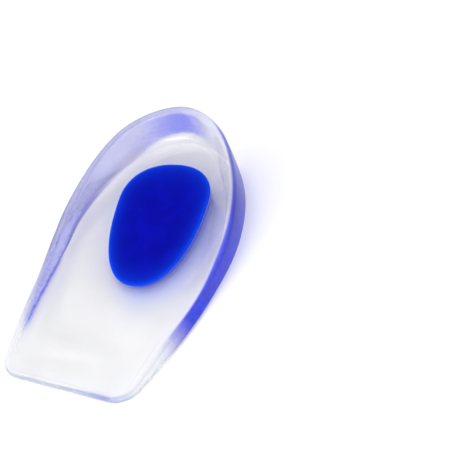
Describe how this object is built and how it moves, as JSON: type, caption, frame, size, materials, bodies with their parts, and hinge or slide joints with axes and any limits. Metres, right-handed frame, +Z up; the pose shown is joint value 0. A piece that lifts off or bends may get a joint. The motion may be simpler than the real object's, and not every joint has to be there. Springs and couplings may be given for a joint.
{
  "type": "heel cup",
  "caption": "Clear gel heel cup with a flat sole, a thin toe edge, a wall rising round the heel and a softer blue pad set into its bed.",
  "frame": {"origin": "middle of the bounding box, on the flat underside", "axes": "+X across the cup, +Y from the thin toe edge towards the heel, +Z up out of the bed"},
  "size_m": [0.0608, 0.102, 0.0222],
  "materials": {
    "clear_gel": "clear silicone gel, satin bed and glossy wall",
    "blue_gel": "soft blue silicone gel, smooth"
  },
  "bodies": {
    "root": {"gel_cup": "clear_gel", "heel_pad": "blue_gel"}
  },
  "joints": []
}
